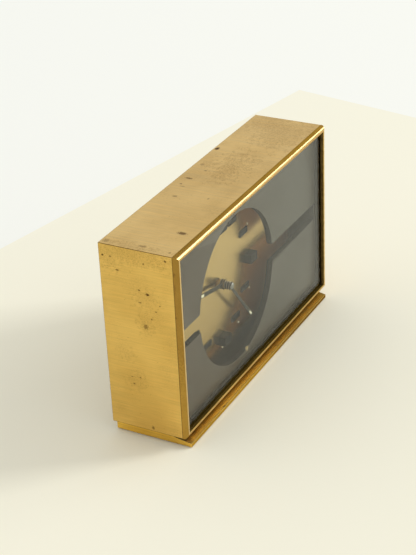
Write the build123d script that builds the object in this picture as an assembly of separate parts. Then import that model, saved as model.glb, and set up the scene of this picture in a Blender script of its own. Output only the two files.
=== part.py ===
from build123d import *
import math
import os

# Table clock in a brass case, millimetres. +X is right and -Y is the front as the dial is read, +Z is up.
# The origin is on the table, under the middle of the case. A depth runs back from the front of the case.

# Case
case_width = 200.0
case_height = 118.5
case_depth = 50.3
wall = 2.0
bezel_width = 3.3
bezel_depth = 3.2
bezel_edge_radius = 2.8
post_size = 7.0
cover_thickness = 1.5
cover_recess = 0.5

# Plinth and the pad under it
plinth_thickness = 6.8
plinth_side_inset = 3.0
plinth_front_reach = 0.7
plinth_back_inset = 0.8
plinth_front_edge = 2.3
plinth_slope_run = 25.7
pad_thickness = 0.5
pad_inset = 1.5
plinth_screw_spread = 60.0
plinth_screw_depth = 36.0
plinth_screw_grip = 4.0

# Glass, mask and dial, stacked behind the bezel
glass_front = 2.0
glass_thickness = 2.0
glass_spacer_thickness = 2.3
mask_thickness = 4.4
dial_spacer_thickness = 8.2
dial_thickness = 1.2
spacer_bar = 4.0
stack_gap = 0.2
dial_offset = 20.2
opening_margin = 10.75
slot_height = 10.8
slot_end = 6.0

# Markers on the dial
marker_inset = 9.9
block_width = 8.75
block_height = 6.0
block_depth = 4.8
hour_plate_width = 10.6
hour_plate_height = 3.75
hour_plate_depth = 0.6
lume_dot_inset = 3.4
lume_dot_radius = 0.65
lume_dot_sides = 12
lume_dot_depth = 0.5

# Hands, and the angles that they show at rest, in degrees clockwise from twelve
rest_hour_angle = 270.0
minute_angle = 141.2
hand_thickness = 0.7
minute_hand_clearance = 4.6
minute_hand_width = 1.7
minute_hand_rise = 6.6
minute_collar_radius = 2.6
minute_collar_length = 3.7
minute_collar_rings = 3
hour_hand_clearance = 4.7
hour_hand_width = 2.5
hour_hand_rise = 2.4
hour_collar_radius = 3.2
hour_collar_length = 2.2
hour_collar_rings = 2
collar_front = 0.5
collar_groove = 0.3
lume_length = 3.5
lume_edge = 0.35
nut_radius = 2.2
nut_length = 1.4
nut_edge = 0.4

# Motion work, between the dial and the movement
motion_module = 0.66
cannon_teeth = 12
minute_wheel_teeth = 36
minute_pinion_teeth = 10
hour_wheel_teeth = 40
motion_gap = 0.8
hour_wheel_thickness = 1.2
minute_wheel_gap = 1.2
minute_wheel_thickness = 1.0
pinion_overhang = 0.3
hour_pipe_wall = 0.7
cannon_pipe_wall = 0.6

# Movement plates, pillars and screws
motion_room = 5.3
plate_thickness = 1.5
train_room = 9.4
plate_left = 24.0
plate_right = 38.0
plate_down = 25.0
plate_up = 30.0
plate_corner_radius = 3.0
pillar_inset = 4.0
pillar_radius = 2.6
pillar_sides = 6
foot_screw_reach = 3.5

# Going train
train_module = 0.4
center_wheel_teeth = 64
third_pinion_teeth = 8
third_wheel_teeth = 60
rotor_pinion_teeth = 8
third_angle = 60.0
rotor_angle = -20.0
train_wheel_thickness = 1.0
center_wheel_gap = 1.0
third_wheel_gap = 3.0
spoke_width = 2.0
rim_width = 1.8
hub_radius = 3.4
center_arbor_radius = 1.0
train_arbor_radius = 0.75
setting_arbor_radius = 1.2

# Tooth form, in modules and in shares of the angle from tooth to tooth
addendum_share = 0.8
dedendum_share = 1.2
wheel_tip_share = 0.2
wheel_root_share = 0.6
pinion_tip_share = 0.2
pinion_root_share = 0.44

# Stepping motor
rotor_radius = 6.0
rotor_thickness = 3.0
rotor_gap = 1.2
coil_bore_gap = 0.8
coil_wall = 2.6
coil_length = 3.8
cup_wall = 1.0
cup_floor = 0.8
lead_diameter = 1.0
lead_pitch = 3.0

# Setting knob behind the back cover
knob_radius = 6.5
knob_length = 6.0
knob_gap = 0.8
knob_notches = 20
knob_notch_depth = 0.5
knob_land_share = 0.55
knob_edge = 0.6

# Cell, its holder and the circuit board
cell_radius = 7.2
cell_length = 49.5
cell_button_radius = 2.7
cell_button_length = 1.0
cell_side_room = 2.0
holder_wall = 1.2
holder_end_room = 3.0
holder_side_gap = 0.4
holder_depth = 12.0
contact_thickness = 0.4
board_thickness = 1.6
board_width = 16.0
board_post_radius = 2.2
board_gap = 2.0
chip_size = 6.0
chip_height = 1.5
crystal_radius = 1.5
crystal_length = 8.0

# Screws, holes and clearances
screw_radius = 1.2
screw_head_radius = 2.4
screw_head_height = 1.2
screw_hole_gap = 0.05
cover_screw_reach = 8.0
dial_screw_reach = 6.0
running_gap = 0.05
pass_gap = 0.5
press_gap = 0.01
overrun = 1.0

# Heights and depths that the sizes above give
case_base = pad_thickness + plinth_thickness
middle_z = case_base + case_height / 2
inner_width = case_width - 2 * wall
inner_height = case_height - 2 * wall
stack_width = inner_width - 2 * stack_gap
stack_height = inner_height - 2 * stack_gap
glass_back = glass_front + glass_thickness
mask_front = glass_back + glass_spacer_thickness
mask_back = mask_front + mask_thickness
dial_front = mask_back + dial_spacer_thickness
dial_back = dial_front + dial_thickness
front_plate_front = dial_back + motion_room
front_plate_back = front_plate_front + plate_thickness
rear_plate_front = front_plate_back + train_room
rear_plate_back = rear_plate_front + plate_thickness
cover_back = case_depth - cover_recess
cover_front = cover_back - cover_thickness
hole_radius = screw_radius + screw_hole_gap

# Axes of the movement, seen from the front
dial_x = -dial_offset
dial_z = middle_z
motion_distance = motion_module * (cannon_teeth + minute_wheel_teeth) / 2
hour_module = 2 * motion_distance / (minute_pinion_teeth + hour_wheel_teeth)
setting_x = dial_x
setting_z = dial_z - motion_distance
third_distance = train_module * (center_wheel_teeth + third_pinion_teeth) / 2
third_x = dial_x + third_distance * math.cos(math.radians(third_angle))
third_z = dial_z + third_distance * math.sin(math.radians(third_angle))
rotor_distance = train_module * (third_wheel_teeth + rotor_pinion_teeth) / 2
rotor_x = third_x + rotor_distance * math.cos(math.radians(rotor_angle))
rotor_z = third_z + rotor_distance * math.sin(math.radians(rotor_angle))

# Depths of the wheels
hour_wheel_front = dial_back + motion_gap
hour_wheel_back = hour_wheel_front + hour_wheel_thickness
minute_wheel_front = hour_wheel_back + minute_wheel_gap
center_wheel_front = front_plate_back + center_wheel_gap
third_wheel_front = front_plate_back + third_wheel_gap
third_wheel_back = third_wheel_front + train_wheel_thickness
rotor_front = third_wheel_back + rotor_gap
rotor_back = rotor_front + rotor_thickness
minute_hand_back = dial_front - minute_hand_rise
minute_hand_front = minute_hand_back - hand_thickness
hour_hand_back = dial_front - hour_hand_rise
hour_hand_front = hour_hand_back - hand_thickness
cannon_pipe_radius = center_arbor_radius + cannon_pipe_wall
hour_pipe_bore = cannon_pipe_radius + running_gap
hour_pipe_radius = hour_pipe_bore + hour_pipe_wall
hub_front = minute_hand_front - collar_front
pipe_front = hub_front - nut_length / 2
setting_reach = case_depth + knob_gap + knob_length

# Rings on the dial and reach of the hands, from the opening in the mask
hours_on_dial = 12
hour_angle = rest_hour_angle + minute_angle / hours_on_dial
opening_radius = case_height / 2 - opening_margin
marker_radius = opening_radius - marker_inset
lume_dot_orbit = opening_radius - lume_dot_inset
minute_hand_length = opening_radius - minute_hand_clearance
hour_hand_length = marker_radius - block_width / 2 - hour_hand_clearance


def face_at(depth):
    """A drawing plane that faces the reader, at a depth behind the front of the case."""
    return Plane(origin=(0, depth - case_depth / 2, 0), x_dir=(1, 0, 0), z_dir=(0, -1, 0))


def plate(outline, front, thickness):
    """A flat piece with this outline, from its front depth back by its thickness."""
    return extrude(face_at(front + thickness) * outline, amount=thickness)


def rod(x, z, radius, front, back):
    return plate(Pos(x, z) * Circle(radius), front, back - front)


def tube(x, z, radius, bore, front, back):
    return plate(Pos(x, z) * (Circle(radius) - Circle(bore)), front, back - front)


def frame_outline(width, height, bar):
    """A rectangular frame about the middle of the case."""
    return Pos(0, middle_z) * (Rectangle(width, height) - Rectangle(width - 2 * bar, height - 2 * bar))


def on_dial(clock_angle, radius):
    """A point at this angle, clockwise from twelve, and radius from the hands' axis."""
    turn = math.radians(clock_angle)
    return dial_x + radius * math.sin(turn), dial_z + radius * math.cos(turn)


def group(solids):
    return Compound(children=list(solids))


def screw(x, z, head_front, head_back, shank_front, shank_back):
    """A cheese-headed screw along the depth: its head and its shank."""
    head = rod(x, z, screw_head_radius, head_front, head_back)
    return head + rod(x, z, screw_radius, shank_front, shank_back)


def corner_points(width, height, inset):
    """Four points, in from the corners of a rectangle about the middle of the case."""
    return [
        (x_side * (width / 2 - inset), middle_z + z_side * (height / 2 - inset))
        for x_side in (-1, 1)
        for z_side in (-1, 1)
    ]


# Case of four mitred plates

def side_outline(x_side, z_side, thickness):
    """One side of the case from the front: its outer edge, mitred in by a thickness."""
    half_w = case_width / 2
    half_h = case_height / 2
    if x_side:
        corners = [
            (x_side * half_w, -half_h),
            (x_side * half_w, half_h),
            (x_side * (half_w - thickness), half_h - thickness),
            (x_side * (half_w - thickness), thickness - half_h),
        ]
    else:
        corners = [
            (-half_w, z_side * half_h),
            (half_w, z_side * half_h),
            (half_w - thickness, z_side * (half_h - thickness)),
            (thickness - half_w, z_side * (half_h - thickness)),
        ]
    return Pos(0, middle_z) * make_face(Polyline(*corners, close=True))


def case_side(x_side, z_side):
    return plate(side_outline(x_side, z_side, wall), bezel_depth, case_depth - bezel_depth)


def bezel_bar(x_side, z_side):
    """A rebated bar with a rounded front edge, mitred at both ends."""
    profile = make_face(
        Polyline(
            (0, 0),
            (bezel_width, 0),
            (bezel_width, glass_front),
            (wall, glass_front),
            (wall, bezel_depth),
            (0, bezel_depth),
            close=True,
        )
    )
    profile = fillet(profile.vertices().sort_by_distance((0, 0, 0))[:1], bezel_edge_radius)
    inward = Vector(-x_side, 0, -z_side)
    corner = Vector(x_side * case_width / 2, -case_depth / 2, middle_z + z_side * case_height / 2)
    along = inward.cross(Vector(0, 1, 0))
    bar = extrude(Plane(origin=corner, x_dir=inward, z_dir=along) * profile, amount=case_width, both=True)
    return bar & plate(side_outline(x_side, z_side, bezel_width), 0, bezel_depth)


def plinth_screw_places():
    return [(side * plinth_screw_spread, plinth_screw_depth - case_depth / 2) for side in (-1, 1)]


def case_bottom():
    bottom = case_side(0, -1)
    for x, y in plinth_screw_places():
        bottom -= Pos(x, y, case_base + wall / 2) * Cylinder(hole_radius, wall + overrun)
    return bottom


def plinth():
    """A base plate whose top slopes down to a thin front edge."""
    front = -plinth_front_reach - case_depth / 2
    back = case_depth / 2 - plinth_back_inset
    profile = make_face(
        Polyline(
            (front, pad_thickness),
            (back, pad_thickness),
            (back, case_base),
            (front + plinth_slope_run, case_base),
            (front, pad_thickness + plinth_front_edge),
            close=True,
        )
    )
    half_width = case_width / 2 - plinth_side_inset
    body = extrude(Plane.YZ * profile, amount=half_width, both=True)
    for x, y in plinth_screw_places():
        hole_depth = plinth_screw_grip + screw_hole_gap
        body -= Pos(x, y, case_base - hole_depth / 2) * Cylinder(hole_radius, hole_depth)
    return body


def base_pad():
    front = -plinth_front_reach - case_depth / 2 + pad_inset
    back = case_depth / 2 - plinth_back_inset - pad_inset
    width = case_width - 2 * plinth_side_inset - 2 * pad_inset
    sheet = RectangleRounded(width, back - front, pad_inset)
    return extrude(Pos(0, (front + back) / 2) * sheet, amount=pad_thickness)


def plinth_screw(x, y):
    head_z = case_base + wall
    body = Pos(x, y, head_z + screw_head_height / 2) * Cylinder(screw_head_radius, screw_head_height)
    length = wall + plinth_screw_grip
    return body + Pos(x, y, head_z - length / 2) * Cylinder(screw_radius, length)


# Glass, mask and dial

def stack_sheet():
    return Pos(0, middle_z) * Rectangle(stack_width, stack_height)


def mask_panel():
    slot = Pos(0, dial_z) * Rectangle(stack_width - 2 * slot_end, slot_height)
    opening = Pos(dial_x, dial_z) * Circle(opening_radius)
    return plate(stack_sheet() - opening - slot, mask_front, mask_thickness)


def post_places():
    return corner_points(inner_width, inner_height, post_size / 2)


def dial_plate():
    outline = stack_sheet() - Pos(dial_x, dial_z) * Circle(hour_pipe_radius + pass_gap)
    for x, z in post_places():
        outline -= Pos(x, z) * Circle(hole_radius)
    return plate(outline, dial_front, dial_thickness)


def dial_spacer():
    """A frame that holds the mask off the dial, notched round the dial's corner screws."""
    outline = frame_outline(stack_width, stack_height, spacer_bar)
    for x, z in post_places():
        outline -= Pos(x, z) * Circle(screw_head_radius + pass_gap)
    return plate(outline, mask_back, dial_spacer_thickness)


def marker_blocks():
    blocks = []
    for hour in range(0, hours_on_dial, 3):
        x, z = on_dial(360 * hour / hours_on_dial, marker_radius)
        outline = Pos(x, z) * Rectangle(block_width, block_height)
        blocks.append(plate(outline, dial_front - block_depth, block_depth))
    return group(blocks)


def hour_plates():
    plates = []
    for hour in range(hours_on_dial):
        if hour % 3:
            x, z = on_dial(360 * hour / hours_on_dial, marker_radius)
            outline = Pos(x, z) * Rectangle(hour_plate_width, hour_plate_height)
            plates.append(plate(outline, dial_front - hour_plate_depth, hour_plate_depth))
    return group(plates)


def lume_dots():
    dots = []
    for hour in range(hours_on_dial):
        x, z = on_dial(360 * hour / hours_on_dial, lume_dot_orbit)
        outline = Pos(x, z) * RegularPolygon(lume_dot_radius, lume_dot_sides)
        dots.append(plate(outline, dial_front - lume_dot_depth, lume_dot_depth))
    return group(dots)


def corner_posts():
    posts = []
    for x, z in post_places():
        body = plate(Pos(x, z) * Rectangle(post_size, post_size), dial_back, cover_front - dial_back)
        posts.append(body - rod(x, z, hole_radius, dial_back, cover_front))
    return group(posts)


def dial_screws():
    head = dial_front - screw_head_height
    return group(
        screw(x, z, head, dial_front, dial_front, dial_back + dial_screw_reach)
        for x, z in post_places()
    )


def back_cover():
    outline = stack_sheet() - Pos(setting_x, setting_z) * Circle(setting_arbor_radius + pass_gap)
    for x, z in post_places():
        outline -= Pos(x, z) * Circle(hole_radius)
    return plate(outline, cover_front, cover_thickness)


def cover_screws():
    head_back = cover_back + screw_head_height
    return group(
        screw(x, z, cover_back, head_back, cover_front - cover_screw_reach, cover_back)
        for x, z in post_places()
    )


# Hands

def collar(radius, length, rings, bore, front):
    """A turned collar of rings, with a shallow groove between each ring and the next."""
    step = length / (2 * rings - 1)
    body = tube(dial_x, dial_z, radius - collar_groove, bore, front, front + length)
    for index in range(rings):
        start = front + 2 * index * step
        body += tube(dial_x, dial_z, radius, bore, start, start + step)
    return body


def hand(length, width, collar_radius, collar_length, collar_rings, bore, front, clock_angle):
    """A baton hand on a turned collar, with a window for the luminous filling near its tip."""
    start = (bore + collar_radius) / 2
    stick = Pos(0, (start + length) / 2) * Rectangle(width, length - start)
    place = Pos(dial_x, dial_z) * Rot(0, 0, -clock_angle)
    body = plate(place * (stick - lume_outline(length, width)), front, hand_thickness)
    return body + collar(collar_radius, collar_length, collar_rings, bore, front - collar_front)


def lume_outline(length, width):
    window = Rectangle(width - 2 * lume_edge, lume_length)
    return Pos(0, length - lume_edge - lume_length / 2) * window


def hand_lume(length, width, front, clock_angle):
    place = Pos(dial_x, dial_z) * Rot(0, 0, -clock_angle)
    return plate(place * lume_outline(length, width), front, hand_thickness)


def hand_nut():
    """The turned cap that holds the minute hand on the cannon's pipe."""
    cap = rod(dial_x, dial_z, nut_radius, hub_front - nut_length, hub_front)
    cap = chamfer(cap.edges().group_by(Axis.Y)[0], nut_edge)
    return cap - rod(dial_x, dial_z, cannon_pipe_radius + press_gap, pipe_front, hub_front)


# Gears

def gear_outline(teeth, module, phase, tip_share, root_share):
    """Straight-flanked teeth, one of them centred on the phase angle, in radians from +X towards +Z."""
    step = 2 * math.pi / teeth
    tip_radius = module * (teeth / 2 + addendum_share)
    root_radius = module * (teeth / 2 - dedendum_share)
    points = []
    for tooth in range(teeth):
        middle = phase + tooth * step
        for radius, share in (
            (root_radius, -root_share),
            (tip_radius, -tip_share),
            (tip_radius, tip_share),
            (root_radius, root_share),
        ):
            angle = middle + share * step / 2
            points.append((radius * math.cos(angle), radius * math.sin(angle)))
    return make_face(Polyline(*points, close=True))


def wheel_outline(teeth, module, phase):
    return gear_outline(teeth, module, phase, wheel_tip_share, wheel_root_share)


def pinion_outline(teeth, module, phase):
    return gear_outline(teeth, module, phase, pinion_tip_share, pinion_root_share)


def crossings(teeth, module):
    """The openings between the four spokes of a wheel."""
    rim = module * (teeth / 2 - dedendum_share) - rim_width
    cross = Rectangle(2 * rim, spoke_width) + Rectangle(spoke_width, 2 * rim)
    return Circle(rim) - Circle(hub_radius) - cross


def gap_phase(toward, teeth):
    """The phase that puts a gap between teeth on the line of centres."""
    return toward + math.pi / teeth


down = -math.pi / 2
up = math.pi / 2
to_third = math.radians(third_angle)
to_rotor = math.radians(rotor_angle)
back_to_center = to_third + math.pi
back_to_third = to_rotor + math.pi


def center_arbor():
    return rod(dial_x, dial_z, center_arbor_radius, hub_front, rear_plate_back)


def cannon_pinion():
    """The pinion that carries the minute hand; its pipe slips on the arbor when the hands are set."""
    outline = pinion_outline(cannon_teeth, motion_module, gap_phase(down, cannon_teeth))
    front = minute_wheel_front - pinion_overhang
    length = minute_wheel_thickness + 2 * pinion_overhang
    bore = center_arbor_radius + running_gap
    teeth = plate(Pos(dial_x, dial_z) * (outline - Circle(bore)), front, length)
    return teeth + tube(dial_x, dial_z, cannon_pipe_radius, bore, pipe_front, front + length)


def hour_wheel():
    outline = wheel_outline(hour_wheel_teeth, hour_module, down) - crossings(hour_wheel_teeth, hour_module)
    place = Pos(dial_x, dial_z)
    disc = plate(place * (outline - Circle(hour_pipe_bore)), hour_wheel_front, hour_wheel_thickness)
    sleeve_front = hour_hand_front - collar_front
    return disc + tube(dial_x, dial_z, hour_pipe_radius, hour_pipe_bore, sleeve_front, hour_wheel_back)


def minute_wheel():
    outline = wheel_outline(minute_wheel_teeth, motion_module, up)
    outline -= crossings(minute_wheel_teeth, motion_module)
    outline -= Circle(setting_arbor_radius + press_gap)
    return plate(Pos(setting_x, setting_z) * outline, minute_wheel_front, minute_wheel_thickness)


def minute_pinion():
    outline = pinion_outline(minute_pinion_teeth, hour_module, gap_phase(up, minute_pinion_teeth))
    outline -= Circle(setting_arbor_radius + press_gap)
    front = hour_wheel_front - pinion_overhang
    return plate(Pos(setting_x, setting_z) * outline, front, minute_wheel_front - front)


def setting_arbor():
    front = hour_wheel_front - pinion_overhang
    return rod(setting_x, setting_z, setting_arbor_radius, front, setting_reach - knob_edge)


def knob_outline():
    """A round grip with straight-sided notches about its edge."""
    step = 2 * math.pi / knob_notches
    points = []
    for notch in range(knob_notches):
        for radius, share in (
            (knob_radius, -knob_land_share),
            (knob_radius, knob_land_share),
            (knob_radius - knob_notch_depth, 1),
        ):
            angle = step * (notch + share / 2)
            points.append((radius * math.cos(angle), radius * math.sin(angle)))
    return make_face(Polyline(*points, close=True))


def set_knob():
    """A notched knob with a raised back face and a blind bore for its arbor."""
    front = case_depth + knob_gap
    face_front = setting_reach - knob_edge
    grip = plate(Pos(setting_x, setting_z) * knob_outline(), front, face_front - front)
    grip += rod(setting_x, setting_z, knob_radius - 2 * knob_notch_depth, face_front, setting_reach)
    return grip - rod(setting_x, setting_z, setting_arbor_radius + press_gap, front, face_front)


def center_wheel():
    outline = wheel_outline(center_wheel_teeth, train_module, to_third)
    outline -= crossings(center_wheel_teeth, train_module)
    outline -= Circle(center_arbor_radius + press_gap)
    return plate(Pos(dial_x, dial_z) * outline, center_wheel_front, train_wheel_thickness)


def third_wheel():
    outline = wheel_outline(third_wheel_teeth, train_module, to_rotor)
    outline -= crossings(third_wheel_teeth, train_module)
    outline -= Circle(train_arbor_radius + press_gap)
    return plate(Pos(third_x, third_z) * outline, third_wheel_front, train_wheel_thickness)


def pinion_arbor(x, z, teeth, toward, wheel_front):
    """An arbor that runs in both plates, with its pinion cut on it."""
    outline = pinion_outline(teeth, train_module, gap_phase(toward, teeth))
    length = train_wheel_thickness + 2 * pinion_overhang
    leaves = plate(Pos(x, z) * outline, wheel_front - pinion_overhang, length)
    return leaves + rod(x, z, train_arbor_radius, front_plate_front, rear_plate_back)


def third_arbor():
    return pinion_arbor(third_x, third_z, third_pinion_teeth, back_to_center, center_wheel_front)


def rotor_arbor():
    return pinion_arbor(rotor_x, rotor_z, rotor_pinion_teeth, back_to_third, third_wheel_front)


# Stepping motor

def rotor_magnet():
    return tube(rotor_x, rotor_z, rotor_radius, train_arbor_radius + press_gap, rotor_front, rotor_back)


coil_bore = rotor_radius + coil_bore_gap
coil_radius = coil_bore + coil_wall
cup_radius = coil_radius + press_gap + cup_wall
coil_back = rear_plate_front - cup_floor
coil_front = coil_back - coil_length


def motor_coil():
    return tube(rotor_x, rotor_z, coil_radius, coil_bore, coil_front, coil_back)


def stator_cup():
    body = rod(rotor_x, rotor_z, cup_radius, coil_front, rear_plate_front)
    body -= rod(rotor_x, rotor_z, coil_radius + press_gap, coil_front, coil_back)
    return body - rod(rotor_x, rotor_z, train_arbor_radius + pass_gap, coil_back, rear_plate_front)


# Movement frame

def pillar_places():
    xs = (dial_x - plate_left + pillar_inset, dial_x + plate_right - pillar_inset)
    zs = (dial_z - plate_down + pillar_inset, dial_z + plate_up - pillar_inset)
    return [(x, z) for x in xs for z in zs]


def movement_outline():
    width = plate_left + plate_right
    height = plate_down + plate_up
    middle = Pos(dial_x + (plate_right - plate_left) / 2, dial_z + (plate_up - plate_down) / 2)
    outline = middle * RectangleRounded(width, height, plate_corner_radius)
    for x, z in pillar_places():
        outline -= Pos(x, z) * Circle(hole_radius)
    for x, z, radius in (
        (dial_x, dial_z, center_arbor_radius),
        (setting_x, setting_z, setting_arbor_radius),
        (third_x, third_z, train_arbor_radius),
        (rotor_x, rotor_z, train_arbor_radius),
    ):
        outline -= Pos(x, z) * Circle(radius + running_gap)
    return outline


def pillars(front, back):
    """Six-sided standoffs with a hole through for the long screws."""
    section = RegularPolygon(pillar_radius, pillar_sides) - Circle(hole_radius)
    return group(plate(Pos(x, z) * section, front, back - front) for x, z in pillar_places())


def movement_screws():
    head_back = rear_plate_back + screw_head_height
    return group(
        screw(x, z, rear_plate_back, head_back, front_plate_front - foot_screw_reach, rear_plate_back)
        for x, z in pillar_places()
    )


# Cell, holder and circuit board

holder_width = 2 * (cell_radius + holder_side_gap + holder_wall)
cell_x = inner_width / 2 - post_size - cell_side_room - holder_width / 2
cell_depth = dial_back + holder_wall + holder_side_gap + cell_radius
end_face = (cell_length + cell_button_length) / 2
holder_length = 2 * (end_face + holder_end_room + holder_wall)
lead_depth = (coil_front + rear_plate_front) / 2
board_right = cell_x - holder_width / 2 - board_gap
board_left = board_right - board_width
board_x = (board_left + board_right) / 2
board_front = lead_depth - board_thickness / 2
board_back = board_front + board_thickness


def battery_cell():
    """The round cell, standing upright, with its raised contact at the top."""
    can = Pos(0, 0, -cell_button_length / 2) * Cylinder(cell_radius, cell_length)
    button = Pos(0, 0, cell_length / 2) * Cylinder(cell_button_radius, cell_button_length)
    return Pos(cell_x, cell_depth - case_depth / 2, middle_z) * (can + button)


def battery_holder():
    """An open cradle: a floor on the dial's back, an end wall at each end and two rails."""
    place = Pos(cell_x, middle_z)
    cradle = plate(place * Rectangle(holder_width, holder_length), dial_back, holder_wall)
    for side in (-1, 1):
        end = Pos(0, side * (holder_length - holder_wall) / 2) * Rectangle(holder_width, holder_wall)
        rail = Rectangle(holder_wall, cell_length - 2 * holder_end_room)
        rail = Pos(side * (holder_width - holder_wall) / 2, 0) * rail
        cradle += plate(place * end, dial_back, holder_depth)
        cradle += plate(place * rail, dial_back, holder_depth)
    return cradle


def contact_strips():
    """A strip across each end of the cell, to the edge of the circuit board."""
    strips = []
    right = cell_x + cell_button_radius
    front = cell_depth - cell_button_radius
    for side in (-1, 1):
        z = middle_z + side * (end_face + contact_thickness / 2)
        outline = Pos((board_right + right) / 2, z) * Rectangle(right - board_right, contact_thickness)
        strips.append(plate(outline, front, board_back - front))
    return group(strips)


def circuit_board():
    outline = Pos(board_x, middle_z) * Rectangle(board_width, holder_length)
    return plate(outline, board_front, board_thickness)


def board_posts():
    spread = holder_length / 2 - board_post_radius
    return group(
        rod(board_x, middle_z + side * spread, board_post_radius, dial_back, board_front)
        for side in (-1, 1)
    )


def driver_chip():
    return plate(Pos(board_x, middle_z) * Rectangle(chip_size, chip_size), board_back, chip_height)


def quartz_can():
    can = Cylinder(crystal_radius, crystal_length)
    depth = board_back + crystal_radius
    return Pos(board_x, depth - case_depth / 2, middle_z - chip_size - crystal_length) * can


def motor_leads():
    """Two stiff leads from the coil's cup to the edge of the circuit board."""
    start_x = rotor_x + cup_radius
    lead = Rot(0, 90, 0) * Cylinder(lead_diameter / 2, board_left - start_x)
    middle_x = (start_x + board_left) / 2
    return group(
        Pos(middle_x, lead_depth - case_depth / 2, rotor_z + side * lead_pitch / 2) * lead
        for side in (-1, 1)
    )


def save(name, shape):
    shape.label = name
    export_step(shape, f"parts/{name}.step")


os.makedirs("parts", exist_ok=True)
nodes = {
    "case_top": case_side(0, 1),
    "case_bottom": case_bottom(),
    "case_left": case_side(-1, 0),
    "case_right": case_side(1, 0),
    "bezel_top": bezel_bar(0, 1),
    "bezel_bottom": bezel_bar(0, -1),
    "bezel_left": bezel_bar(-1, 0),
    "bezel_right": bezel_bar(1, 0),
    "plinth": plinth(),
    "base_pad": base_pad(),
    "plinth_screws": group(plinth_screw(x, y) for x, y in plinth_screw_places()),
    "front_glass": plate(stack_sheet(), glass_front, glass_thickness),
    "glass_spacer": plate(
        frame_outline(stack_width, stack_height, spacer_bar), glass_back, glass_spacer_thickness
    ),
    "mask_panel": mask_panel(),
    "dial_spacer": dial_spacer(),
    "dial_plate": dial_plate(),
    "quarter_blocks": marker_blocks(),
    "hour_plates": hour_plates(),
    "lume_dots": lume_dots(),
    "corner_posts": corner_posts(),
    "dial_screws": dial_screws(),
    "back_cover": back_cover(),
    "cover_screws": cover_screws(),
    "movement_front_plate": plate(movement_outline(), front_plate_front, plate_thickness),
    "movement_rear_plate": plate(movement_outline(), rear_plate_front, plate_thickness),
    "movement_pillars": pillars(front_plate_back, rear_plate_front),
    "movement_feet": pillars(dial_back, front_plate_front),
    "movement_screws": movement_screws(),
    "stator_cup": stator_cup(),
    "motor_coil": motor_coil(),
    "motor_leads": motor_leads(),
    "battery_holder": battery_holder(),
    "battery_cell": battery_cell(),
    "contact_strips": contact_strips(),
    "circuit_board": circuit_board(),
    "board_posts": board_posts(),
    "driver_chip": driver_chip(),
    "quartz_can": quartz_can(),
    "center_arbor": center_arbor(),
    "center_wheel": center_wheel(),
    "cannon_pinion": cannon_pinion(),
    "minute_hand": hand(
        minute_hand_length, minute_hand_width, minute_collar_radius, minute_collar_length,
        minute_collar_rings, cannon_pipe_radius + press_gap, minute_hand_front, minute_angle,
    ),
    "minute_hand_lume": hand_lume(minute_hand_length, minute_hand_width, minute_hand_front, minute_angle),
    "hand_nut": hand_nut(),
    "hour_wheel": hour_wheel(),
    "hour_hand": hand(
        hour_hand_length, hour_hand_width, hour_collar_radius, hour_collar_length,
        hour_collar_rings, hour_pipe_radius + press_gap, hour_hand_front, hour_angle,
    ),
    "hour_hand_lume": hand_lume(hour_hand_length, hour_hand_width, hour_hand_front, hour_angle),
    "minute_wheel": minute_wheel(),
    "minute_pinion": minute_pinion(),
    "setting_arbor": setting_arbor(),
    "set_knob": set_knob(),
    "third_wheel": third_wheel(),
    "third_arbor": third_arbor(),
    "rotor_arbor": rotor_arbor(),
    "rotor_magnet": rotor_magnet(),
}
for name, shape in nodes.items():
    save(name, shape)
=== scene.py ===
import math

import bmesh
import bpy
from mathutils import Matrix, Vector


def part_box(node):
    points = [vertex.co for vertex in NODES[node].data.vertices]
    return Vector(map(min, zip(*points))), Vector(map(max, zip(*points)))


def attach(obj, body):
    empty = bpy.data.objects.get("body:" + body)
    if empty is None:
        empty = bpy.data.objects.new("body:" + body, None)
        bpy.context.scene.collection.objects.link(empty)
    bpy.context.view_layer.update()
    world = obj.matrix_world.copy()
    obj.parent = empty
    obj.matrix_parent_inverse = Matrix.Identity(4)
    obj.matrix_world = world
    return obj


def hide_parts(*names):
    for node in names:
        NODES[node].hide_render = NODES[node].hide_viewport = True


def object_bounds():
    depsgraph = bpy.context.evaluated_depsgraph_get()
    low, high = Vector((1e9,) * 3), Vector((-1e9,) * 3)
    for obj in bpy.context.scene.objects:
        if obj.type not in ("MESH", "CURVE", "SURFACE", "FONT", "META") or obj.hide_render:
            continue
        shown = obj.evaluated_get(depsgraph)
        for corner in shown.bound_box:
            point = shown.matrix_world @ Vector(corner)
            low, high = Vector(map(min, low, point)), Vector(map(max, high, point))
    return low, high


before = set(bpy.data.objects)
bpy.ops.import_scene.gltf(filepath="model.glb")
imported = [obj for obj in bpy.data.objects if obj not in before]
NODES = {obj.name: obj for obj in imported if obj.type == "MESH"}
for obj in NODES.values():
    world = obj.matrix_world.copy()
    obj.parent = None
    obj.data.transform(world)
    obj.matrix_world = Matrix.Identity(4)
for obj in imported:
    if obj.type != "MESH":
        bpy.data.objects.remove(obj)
cad_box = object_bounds()
MM = 0.001
AXIS = sum(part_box("hand_nut"), Vector()) / 2

# Camera, from the perspective of the clock's edges
CAMERA_PLACE = (-0.6966, -0.3728, 0.4875)
CAMERA_AZIMUTH = math.radians(-61.11)
CAMERA_ELEVATION = math.radians(28.45)
CAMERA_ROLL = math.radians(-2.75)
CAMERA_LENS = 93.87
CAMERA_SENSOR = 36.0

# Light: a tall window to the right of the clock's front and a long low strip beside it, in a pale room
# name, degrees right of the front, degrees up, distance, width, height, power
PANELS = [
    ("window", 41.0, 17.0, 12.0, 3.0, 6.9, 972.0),
    ("strip", 59.0, 20.0, 12.0, 4.5, 1.35, 152.0),
]
PANEL_COLOUR = (1.0, 0.985, 0.96)
ROOM_STRENGTH = 0.78
ROOM_COLOUR = (1.0, 0.99, 0.965)

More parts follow.
